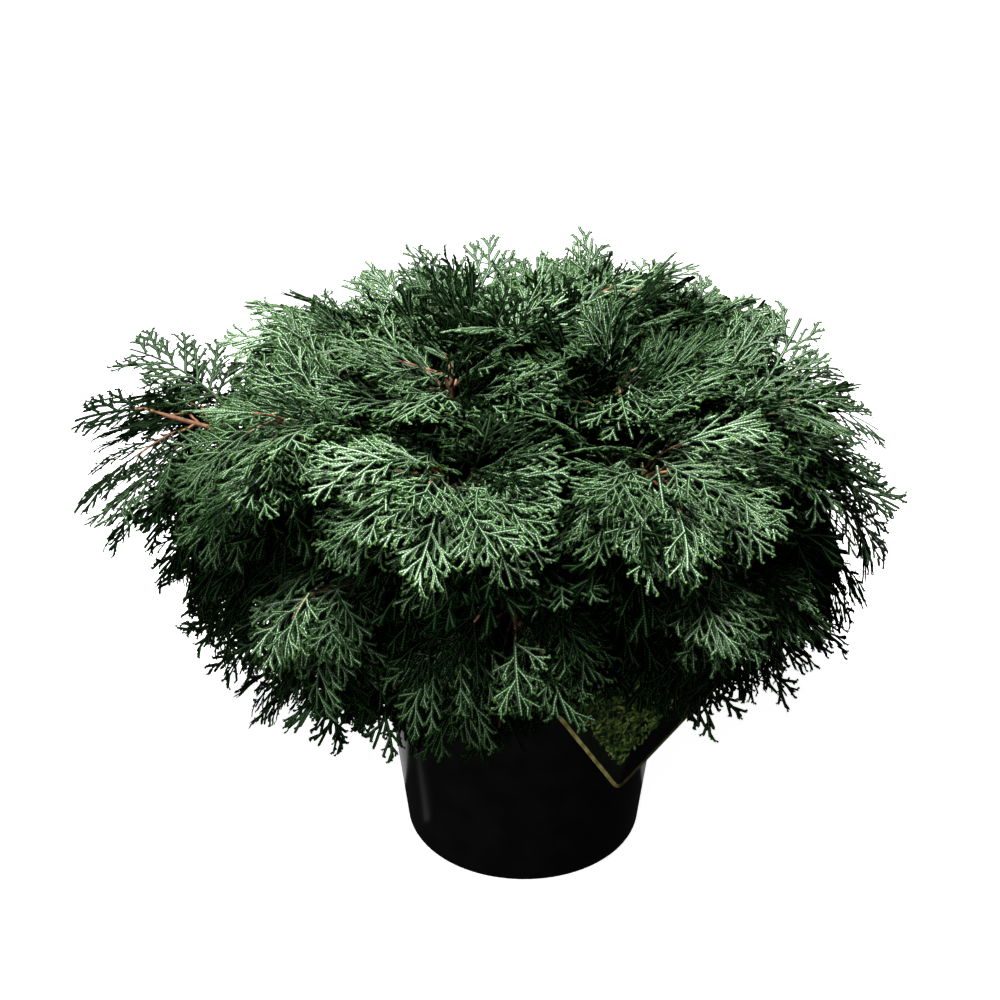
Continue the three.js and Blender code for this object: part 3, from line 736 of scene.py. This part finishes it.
def waxy(name, dark, light, scale, roughness, gloss):
    material = speckled(name, dark, light, scale, roughness)
    shader = material.node_tree.nodes["Principled BSDF"]
    set_inputs(shader, {"Specular IOR Level": gloss, "Specular Tint": (*WAX_TINT, 1)})
    return material, shader


def scaly(name, dark, light, keel, roughness, gloss):
    """Scale leaves: flanks whose green wanders, and a pale keel that each scale's joint breaks.

    The keel's pale colour is a painted highlight along each ridge, over the leaves' waxy bloom.
    """
    material, shader = waxy(name, dark, light, FLANK_GRAIN, roughness, gloss)
    flank = shader.inputs["Base Color"].links[0].from_socket

    def calculate(operation, *values):
        return add_node(shader, "Math", dict(enumerate(values)), operation=operation).outputs[0]

    place = add_node(shader, "UVMap", {}, uv_map="scales")
    axes = add_node(shader, "SeparateXYZ", {"Vector": place.outputs["UV"]})
    off_keel = calculate("ABSOLUTE", axes.outputs["X"])
    joint = calculate("MULTIPLY", calculate("FRACT", axes.outputs["Y"]), KEEL.narrowing)
    wax_and_highlight_range = {"Value": calculate("ADD", off_keel, joint), "From Min": KEEL.edge, "From Max": KEEL.middle}
    wax_and_highlight = add_node(shader, "MapRange", wax_and_highlight_range).outputs["Result"]
    mix = add_node(shader, "Mix", {"Factor": wax_and_highlight, "A": flank, "B": (*keel, 1)}, data_type="RGBA")
    set_inputs(shader, {"Base Color": mix.outputs["Result"]})
    return material


# -------- fans of branchlets
def grow_fan(length, width, coarse, draw):
    """Branchlets of one spray in its plane: rows of x, y, heading, turn, length, half width, slope and order.

    Slope is how steeply a side branch, with all that it bears, leaves the spray's plane.
    """
    rows = []
    grain = FAN.coarseness if coarse else 1.0
    ribs, sides, subs, twiglets = (half_width * grain for half_width in FAN.half_widths)

    def branch(parent, share, angle, turn, reach, half_width, order, slope=None):
        x, y, heading, bend, parent_reach = parent[:5]
        middle = heading + bend * share / 2
        x += share * parent_reach * math.cos(middle)
        y += share * parent_reach * math.sin(middle)
        heading += bend * share + math.radians(angle)
        slope = parent[6] if slope is None else slope
        rows.append((x, y, heading, math.radians(turn), reach, half_width, slope, order))
        return rows[-1]

    def swing():
        return 2 * draw() - 1

    rib = (0.0, 0.0, 0.0, math.radians(FAN.rib_turn) * swing(), length, ribs, 0.0, 0)
    rows.append(rib)
    count = max(3, round(length / FAN.rib_spacing / grain))
    first_side = 1 if draw() < 0.5 else -1
    for i in range(count):
        share = lerp(*FAN.sides, i / (count - 1))
        side = first_side * (1 if i % 2 else -1)
        most = FAN.side_length * width / FAN.aspect * (1 - share) ** FAN.side_taper
        reach = most * lerp(*FAN.side_lengths, draw())
        if reach < FAN.ring * 2:
            continue
        angle = side * (lerp(*FAN.side_angle, share) + FAN.angle_jitter * swing())
        turn = side * FAN.side_turn * lerp(*FAN.side_turns, draw())
        side_branch = branch(rib, share, angle, turn, reach, sides, 1, FAN.slope * swing())
        buds = int(reach / FAN.sub_spacing / grain)
        for j in range(1, buds):
            hand = 1 if (j + i) % 2 else -1
            at = (j + FAN.sub_jitter * draw()) / buds
            most = min(FAN.sub_longest, reach * (1 - at) * FAN.sub_share + FAN.ring)
            sub_reach = most * lerp(*FAN.sub_lengths, draw())
            angle = hand * (FAN.sub_angle + FAN.angle_jitter * swing())
            sub = branch(side_branch, at, angle, -hand * FAN.sub_turn, sub_reach, subs, 2)
            knobs = 0 if coarse else int(sub_reach / FAN.twiglet_spacing)
            for k in range(knobs):
                angle = (hand if k % 2 else -hand) * FAN.twiglet_angle
                twiglet = FAN.twiglet_length * lerp(*FAN.twiglet_lengths, draw())
                branch(sub, (k + 0.7) / (knobs + 0.4), angle, 0, twiglet, twiglets, 3)
    return rows


def ring_counts(rows):
    return np.where(rows[:, 7] == 3, 1, np.maximum(2, np.round(rows[:, 4] / FAN.ring).astype(int)))


def strips(rows, origins, axes, lengths, widths, bends, rng):
    """Scaly branchlets as narrow roofed strips in space: vertices, quads, triangles and places on the strips.

    The rows of one spray lie in its own plane, which is rolled down along its rib and cups across it.
    """
    rings = ring_counts(rows)
    vertices, quads, triangles, places = [], [], [], []
    count = 0
    for number in np.unique(rings):
        mine = rings == number
        x0, y0, heading, turn, reach, half_width, slope, _ = rows[mine].T[:, :, None]
        if number == 1:  # a knob: narrow where it leaves its branchlet, and blunt at its end
            shares = np.array((1.0, 0.0))
        else:
            last_ring = np.append(np.zeros(number - 1), (1, 0))
            shares = np.append(np.linspace(0, 1, number), 1) - FAN.blunt / reach * last_ring
        angle = heading + turn * shares / 2
        x = x0 + shares * reach * np.cos(angle)
        y = y0 + shares * reach * np.sin(angle)
        long, wide, bend = lengths[mine, None], widths[mine, None], bends[mine, None]
        along, across, normal = (axes[mine][:, i][:, None] for i in range(3))
        forwards, down, fall = rolled(x, long, bend)
        lift = rng.uniform(-FAN.uneven, FAN.uneven, x0.shape) - down + slope * np.abs(y)
        lift -= FAN.cup * (2 * y / wide) ** 2 * wide / 2
        points = origins[mine][:, None] + forwards[..., None] * along + y[..., None] * across
        points += lift[..., None] * normal
        normal = normal * np.cos(fall)[..., None] + along * np.sin(fall)[..., None]
        forward = units(np.gradient(points, axis=1))
        beside = units(np.cross(normal, forward))
        above = np.cross(forward, beside)
        tilt = np.radians(rng.uniform(-FAN.tilt, FAN.tilt, x0.shape))[..., None]
        cos, sin = np.cos(tilt), np.sin(tilt)
        beside, above = beside * cos + above * sin, above * cos - beside * sin
        taper = half_width * (1 - FAN.taper * shares)
        left = points + beside * taper[..., None]
        right = points - beside * taper[..., None]
        middle = points + above * (taper * FAN.ridge)[..., None]
        body = np.stack((left, middle, right), axis=2)[:, :number].reshape(len(x0), -1, 3)
        everything = np.concatenate((body, points[:, -1:]), axis=1)
        base = count + np.arange(len(x0))[:, None, None] * (3 * number + 1)
        ring = 3 * np.arange(number - 1)[None, :, None]
        left_quad = base + ring + np.array((0, 1, 4, 3))
        right_quad = base + ring + np.array((1, 2, 5, 4))
        last = 3 * (number - 1)
        end = base[:, 0] + np.array((last, last + 1, last + 3, last + 1, last + 2, last + 3))
        vertices.append(everything.reshape(-1, 3))
        scales = (reach * shares / FAN.scale).repeat(3, axis=1)[:, : 3 * number + 1]
        sides = np.append(np.tile((-1, 0, 1), number), 0)
        places.append(np.stack((np.broadcast_to(sides, scales.shape), scales), axis=-1).reshape(-1, 2))
        quads += [left_quad.reshape(-1, 4), right_quad.reshape(-1, 4)]
        triangles.append(end.reshape(-1, 3))
        count += everything.shape[0] * everything.shape[1]
    return [np.concatenate(part) for part in (vertices, quads, triangles, places)]


def cover_of(sprays):
    """How many other sprays lie close above each one and outside it, on average over its length."""
    shares = np.array((0.15, 0.35, 0.55, 0.75, 0.95))
    ribs = [spray.origin + share * spray.length * spray.axes[0] for spray in sprays for share in shares]
    points = np.array(ribs)
    out = points * (1, 1, 0)
    towards = UP + COVER.outwards * out / np.maximum(0.02, np.linalg.norm(out, axis=1))[:, None]
    hits = np.zeros(len(points))
    for spray in sprays:
        start, step = (points - spray.origin) @ spray.axes.T, towards @ spray.axes.T
        away = -start[:, 2] / np.where(np.abs(step[:, 2]) < 1e-3, 1e-3, step[:, 2])
        x, y, _ = (start + away[:, None] * step).T
        half = spray.width / 2 * np.sqrt(np.clip(1 - x / spray.length, 0, 1))
        hits += (away > COVER.apart) & (away < COVER.near) & (x > 0) & (np.abs(y) < half)
    return hits.reshape(len(sprays), -1).mean(axis=1)


def painted_shade_of(spray, cover, random):
    """Which copy of the leaf colours a spray gets: painted light outside and on top, painted shade inside,
    low down and under others.
    """
    centre = middle_of(spray)
    out = outwards(centre)
    height = (centre[2] - CROWN_FOOT) / CROWN_HEIGHT
    light = PAINTED_LIGHT.level + PAINTED_LIGHT.depth * (min(PAINTED_LIGHT.surface, out) - PAINTED_LIGHT.surface)
    light += PAINTED_LIGHT.height * (height - PAINTED_LIGHT.top)
    light += PAINTED_LIGHT.swing * random.swing() - PAINTED_LIGHT.cover * min(cover, PAINTED_LIGHT.most_cover)
    # Painted shade past the crown's edge and far to the sides, and painted light again at the low left.
    light -= PAINTED_LIGHT.beyond * max(0, out - PAINTED_LIGHT.edge)
    light -= PAINTED_LIGHT.sides * max(0, abs(centre[0] - CROWN.centre_x) - PAINTED_LIGHT.sides_from)
    light -= PAINTED_LIGHT.low * max(0, PAINTED_LIGHT.low_from - height)
    light += PAINTED_LIGHT.low_left * max(0, -centre[0] - PAINTED_LIGHT.left_from) * max(0, 1 - PAINTED_LIGHT.left_fade * height)
    darkest = len(PAINTED_LEAF_SHADES) - 1
    return int(np.clip(round((1 - light) * darkest), 0, darkest))


def make_foliage(sprays):
    """Joins all the sprays' branchlets into pieces, each of one leaf colour copy, from painted light to
    painted shade.
    """
    random = Seeded(SEEDS.leaves)
    rng = np.random.default_rng(SEEDS.leaves)
    groups = {}
    for spray, cover in zip(sprays, cover_of(sprays)):
        out = outwards(middle_of(spray))
        coarse = out < COARSE.depth or (out < COARSE.outer and cover > COARSE.cover)
        rows = grow_fan(spray.length, spray.width, coarse, random.draw)
        weight = int((4 * ring_counts(np.array(rows)) - 2).sum())
        batches = groups.setdefault(painted_shade_of(spray, cover, random), [[]])
        if sum(item[2] for item in batches[-1]) + weight > MOST_TRIANGLES:
            batches.append([])
        batches[-1].append((spray, rows, weight))
    for shade in sorted(groups):
        name, dark, light, keel, tip, roughness, gloss = PAINTED_LEAF_SHADES[shade]
        leaf = scaly(f"leaf_{name}", dark, light, keel, roughness, gloss)
        fresh, _ = waxy(f"tip_{name}", light, tip, TIP_GRAIN, roughness, gloss)
        for number, batch in enumerate(groups[shade]):
            counts = [len(rows) for _, rows, _ in batch]
            rows = np.array([row for _, rows, _ in batch for row in rows])
            parts = ("origin", "axes", "length", "width", "bend")
            values = [np.array([getattr(spray, part) for spray, *_ in batch]) for part in parts]
            values = [np.repeat(value, counts, axis=0) for value in values]
            *arrays, places = strips(rows, *values, rng)
            piece = make_mesh(f"leaves_{name}_{number + 1}", *arrays, (leaf, fresh), places)


# -------- wood
def bark_relief(rows, sides, rng, depth):
    """Ridges that run along a limb and wander a little, as a scale for its radius."""
    angles = np.arange(sides) * 2 * math.pi / sides
    heights = np.linspace(0, 1, rows)[:, None]
    ridges = np.sin(angles * (sides // 3) + 3 * np.sin(heights * 5 + rng.uniform(0, 6)))
    return 1 + depth * (0.6 * ridges + 0.7 * rng.uniform(-1, 1, (rows, sides)))


def limb_mesh(controls, radius_at, rng, rows, sides, relief):
    shares = np.linspace(0, 1, rows)
    return tube(bezier(controls, shares), radius_at(shares), sides, bark_relief(rows, sides, rng, relief))


def twig_line(spray, woody):
    """A twig that sags a little, and then its spray's rib as far as its wood goes on."""
    shares = np.linspace(0, 1, 4)
    sag = WOODY.sag * np.linalg.norm(spray.tip - spray.root) * np.sin(shares * math.pi)
    line = lerp(spray.root, spray.tip, shares[:, None]) + sag[:, None] * UP
    reach = np.linspace(WOODY.first, 1, 3)[:, None] * woody * spray.length
    forwards, down, _ = rolled(reach, spray.length, spray.bend)
    rib = spray.origin + forwards * spray.axes[0] + (WOODY.lift - down) * spray.axes[2]
    return np.concatenate((line, rib))


def make_wood(all_sprays):
    rng = np.random.default_rng(SEEDS.wood)
    trunk, boughs, stems, twigs, brown_twigs = (Pile() for _ in range(5))
    trunk.add(*limb_mesh(TRUNK_CURVE, trunk_radius, rng, *TRUNK_MESH))
    for plan in plans:
        if plan.bough:
            boughs.add(*limb_mesh(plan.bough, lambda shares: bough_radius(plan, shares), rng, *BOUGH_MESH))
    rows, sides, relief = STEM_MESH
    for plan in plans:
        shares = np.linspace(0, 1, rows)
        points = bezier(plan.stem, shares)
        points[0] -= tangent(plan.stem, 0) * STEM_END.sunk
        radii = stem_radius(shares) * np.minimum(1, STEM_END.thinnest + STEM_END.thinning * (1 - shares))
        stems.add(*tube(points, radii, sides, bark_relief(rows, sides, rng, relief)))
    random = Seeded(SEEDS.twigs)
    ends = np.array([plan.stem[-1] for plan in plans])
    for spray in all_sprays:
        at_end = np.linalg.norm(ends - spray.root, axis=1).min() < WOODY.reach
        is_brown = random.draw() < (WOODY.end_share if at_end else WOODY.share)
        line = twig_line(spray, lerp(*WOODY.ribs, random.draw()) if is_brown else WOODY.green_rib)
        radii = lerp(TWIG.foot_radius, WOODY.end_radius, np.linspace(0, 1, len(line)))
        (brown_twigs if is_brown else twigs).add(*tube(line, radii, WOODY.sides))
    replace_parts(trunk.piece("trunk_bark", BARK), "trunk")
    names = [f"bough_{plan.name}" for plan in plans if plan.bough]
    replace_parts(boughs.piece("bough_bark", BARK), *names)
    masses = [f"foliage_{plan.name}" for plan in plans]
    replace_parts(stems.piece("stems", YOUNG_BARK), *masses)
    twigs.piece("twigs", GREEN_BARK)
    brown_twigs.piece("brown_twigs", BROWN_BARK)


# -------- pot, compost and label
def make_pot():
    """The pot's shell from its profile: up the outside, over the lip and down the inside."""
    turns = np.radians(np.linspace(0, 90, 9))
    corner = zip(pot_radius(POT.corner) - POT.corner * (1 - np.sin(turns)), POT.corner * (1 - np.cos(turns)))
    lip_foot, lip = POT.height - POT.lip_height, pot_radius(POT.height) + POT.lip_reach

    def wall(height, out=0.0, up=0.0):
        return pot_radius(height) + out, height + up

    profile = [
        (AXIS, 0.0), (0.055, 0.0), *corner, wall(0.06), wall(0.12), wall(lip_foot),
        wall(lip_foot, POT.lip_reach * 0.8, 0.0008), wall(lip_foot, POT.lip_reach, 0.0018),
        (lip, POT.height - 0.0012), (lip - 0.0006, POT.height - 0.0003), (lip - 0.0014, POT.height),
        wall(POT.height, 0.0005 - POT.wall), wall(POT.height, -POT.wall, -0.0006), wall(0.1, -POT.wall),
        wall(POT.floor + POT.corner, -POT.wall), wall(POT.floor, -POT.wall - POT.corner * 0.6),
        (AXIS, POT.floor),
    ]
    pot = make_mesh("pot_shell", *lathe(profile, 120), materials=(POT_PLASTIC,))
    pot.data.polygons.foreach_set("use_smooth", [True] * len(pot.data.polygons))
    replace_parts(pot, "pot")


def make_compost():
    """Compost with an uneven surface and crumbs on it."""
    rng = np.random.default_rng(SEEDS.compost)
    top, edge = COMPOST_TOP - COMPOST.low_top, COMPOST_TOP - COMPOST.fall
    radius = pot_radius(edge) - POT.wall - 2 * GAP
    profile = [(AXIS, COMPOST.foot), (COMPOST.foot_radius, COMPOST.foot)]
    profile += [(pot_radius(COMPOST.low) - COMPOST.room, COMPOST.low), (radius, edge)]
    profile += [(radius * (1 - 0.09 * i), lerp(edge, top, min(1, i / 8))) for i in range(1, 11)]
    vertices, quads = lathe([*profile, (AXIS, top)], 90)
    surface = vertices[:, 2] > edge - 0.001
    vertices[surface, 2] -= rng.uniform(0, COMPOST.uneven, surface.sum())
    soil = Pile()
    soil.add(vertices, quads)
    for _ in range(COMPOST.crumbs):
        angle, reach = rng.uniform(0, 2 * math.pi), math.sqrt(rng.uniform(0.03, 0.9)) * radius
        size = rng.uniform(*COMPOST.crumb)
        height = lerp(COMPOST_TOP, edge, reach / radius) - COMPOST.sunk - size * 0.4
        middle = np.array((reach * math.cos(angle), reach * math.sin(angle), height))
        soil.add(middle + CRUMB * size * rng.uniform(0.5, 1, (6, 1)), (), CRUMB_FACES)
    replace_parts(soil.piece("compost_crumbs", SOIL), "compost")


def rounded(width, height, corner, steps=8):
    """Outline of a rectangle with rounded corners, anticlockwise from its lower left corner."""
    right, top = width - corner, height - corner
    points = []
    for x, y, start in ((corner, corner, 180), (right, corner, 270), (right, top, 0), (corner, top, 90)):
        for i in range(steps + 1):
            angle = math.radians(start + 90 * i / steps)
            points.append((x + corner * math.cos(angle), y + corner * math.sin(angle)))
    return np.array(points)


def on_label(points):
    return LABEL_ORIGIN + np.asarray(points, float) @ LABEL_AXES


def slab(outline, low, high):
    """A flat plate between two heights above the label's back: vertices, quads and triangles."""
    rings = np.array([np.column_stack((outline, np.full(len(outline), z))) for z in (low, high)])
    return closed(on_label(rings), *on_label(rings.mean(axis=1)))


def make_label():
    """A card with a golden edge, a plain dark border and a generic pattern of small leaves."""
    gold = speckled("label_gold", (0.17, 0.15, 0.04), (0.46, 0.41, 0.15), 200, 0.3)
    night = speckled("label_dark", (0.004, 0.005, 0.004), (0.008, 0.010, 0.007), 200, 0.3)
    card, face = Pile(), Pile()
    card.add(*slab(rounded(LABEL.width, LABEL.height, LABEL.corner), 0.0, LABEL.thickness))
    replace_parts(card.piece("label_edge", gold), "label_card")
    edge = CARD.edge
    inner = rounded(LABEL.width - 2 * edge, LABEL.height - 2 * edge, LABEL.corner - edge)
    face.add(*slab(inner + edge, LABEL.thickness, LABEL.thickness + CARD.film))
    face.piece("label_face", night)

    rng = np.random.default_rng(SEEDS.card)
    piles = [Pile() for _ in CARD.colours]
    low = np.array(CARD.bands) + edge
    high = np.array((LABEL.width, LABEL.height)) - edge
    for i in range(CARD.leaves):
        length = rng.uniform(*CARD.lengths)
        middle = rng.uniform(low + 0.003, high - 0.004)
        angle = rng.uniform(0, 2 * math.pi)
        turn = np.array(((math.cos(angle), math.sin(angle)), (-math.sin(angle), math.cos(angle))))
        leaf = (middle + CARD_LEAF @ turn * length).clip(low, high - 0.0005)
        colour = int(np.clip(rng.normal(1.2, 0.9), 0, 3))
        height = LABEL.thickness + CARD.print + CARD.step * i  # no two leaves in one plane
        piles[colour].add(on_label(np.column_stack((leaf, np.full(6, height)))), ((0, 1, 2, 5), (5, 2, 3, 4)))
    for number, (pile, colour) in enumerate(zip(piles, CARD.colours)):
        dim = tuple(0.6 * value for value in colour)
        ink = speckled(f"label_leaf_{number + 1}", dim, colour, 500, 0.35)
        pile.piece(f"label_leaves_{number + 1}", ink)

    strap = speckled("label_strap_plastic", (0.006, 0.008, 0.006), (0.012, 0.014, 0.011), 150, 0.35)
    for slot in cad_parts["label_strap"].material_slots:
        slot.material = strap


# -------- studio
# Name, place, target, watts, width and, where it isn't square, height. The sky light is high, the lower ones
# lift the crown's underside, and dim panels on the floor are there for the pot's gloss alone.
LIGHTS = [
    ("sky", (-0.25, -0.38, 1.7), (0, 0, 0.25), 65, 0.35),
    ("front", (-0.5, -1.9, 1.5), (0, 0, 0.25), 3, 1.0),
    ("low", (0.40, -0.85, 0.22), (0.07, -0.1, 0.12), 0.5, 0.2),
    ("low left", (-0.60, -0.75, 0.30), (-0.12, -0.1, 0.17), 3.8, 0.25),
    ("left panel", (-0.30, 0.25, 0.002), (-0.30, 0.25, 1), 0.34, 0.45, 0.45),
    ("right panel", (0.30, 0.25, 0.002), (0.30, 0.25, 1), 0.15, 0.45, 0.45),
    ("strip", (-0.222, 0.010, 0.002), (-0.222, 0.010, 1), 0.0013, 0.28, 0.010),
]
STRIP_TURN = 160  # in degrees, about the vertical
WORLD_LIGHT, FLOOR_GLOW = 0.011, 0.97
FLOOR = [(AXIS, 0), (5, 0), (6, 0.25), (6.8, 1), (7.1, 2), (7.2, 9)]  # it rises into a wall
# Worked out from the pot's outline in the photograph. Focal length and picture's width are in pixels.
CAMERA = Sizes(place=(-0.0159, -1.1228, 0.8405), tilt=62, focal=2005, picture=1000, sensor=36)


def make_light(name, place, target, power, size, size_y=None):
    data = bpy.data.lights.new(name, "AREA")
    data.energy = power
    data.size = size
    if size_y:
        data.shape = "RECTANGLE"
        data.size_y = size_y
    light = put(name, data)
    light.location = place
    direction = type(light.location)(np.array(target, float) - np.array(place, float))
    light.rotation_euler = direction.to_track_quat("-Z", "Y").to_euler()
    light.visible_camera = False
    return light


def make_studio():
    scene = bpy.context.scene
    scene.view_settings.view_transform = "Standard"
    world = bpy.data.worlds.new("studio")
    world.use_nodes = True
    set_inputs(world.node_tree.nodes["Background"], {"Color": (1, 1, 1, 1), "Strength": WORLD_LIGHT})
    scene.world = world

    floor_mesh = bpy.data.meshes.new("studio_floor")
    vertices, quads = lathe(FLOOR, 64)
    floor_mesh.from_pydata(vertices.tolist(), [], quads.tolist())
    pale, shader = new_material("studio_white", (0.9, 0.9, 0.9), 0.9)
    set_inputs(shader, {"Emission Color": (1, 1, 1, 1), "Emission Strength": FLOOR_GLOW})
    floor_mesh.materials.append(pale)
    floor = put("studio_floor", floor_mesh)
    floor.visible_diffuse = False
    floor.visible_glossy = False
    floor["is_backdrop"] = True

    lights = {values[0]: make_light(*values) for values in LIGHTS}
    lights["strip"].rotation_euler.z = math.radians(STRIP_TURN)

    camera = put("camera", bpy.data.cameras.new("camera"))
    camera.data.sensor_width = CAMERA.sensor
    camera.data.lens = CAMERA.focal / CAMERA.picture * CAMERA.sensor
    camera.location = CAMERA.place
    camera.rotation_euler = (math.radians(CAMERA.tilt), 0, 0)
    scene.camera = camera


# -------- everything
grown = [grow_mass(index) for index in range(len(plans))]
for index, sprays in enumerate(grown):
    roll_down(index, sprays)
finer = [grow_more(index, sprays, FINE) for index, sprays in enumerate(grown)]
lining = [grow_more(index, sprays + finer[index], LINING) for index, sprays in enumerate(grown)]
all_sprays = [spray for mass in grown + finer + lining for spray in mass]
make_foliage(all_sprays)
make_wood(all_sprays)
make_pot()
make_compost()
make_label()
make_studio()

visual_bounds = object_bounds()
boxes = {"cad": cad_bounds, "visual": visual_bounds}
{name: [list(corner) for corner in box] for name, box in boxes.items()}
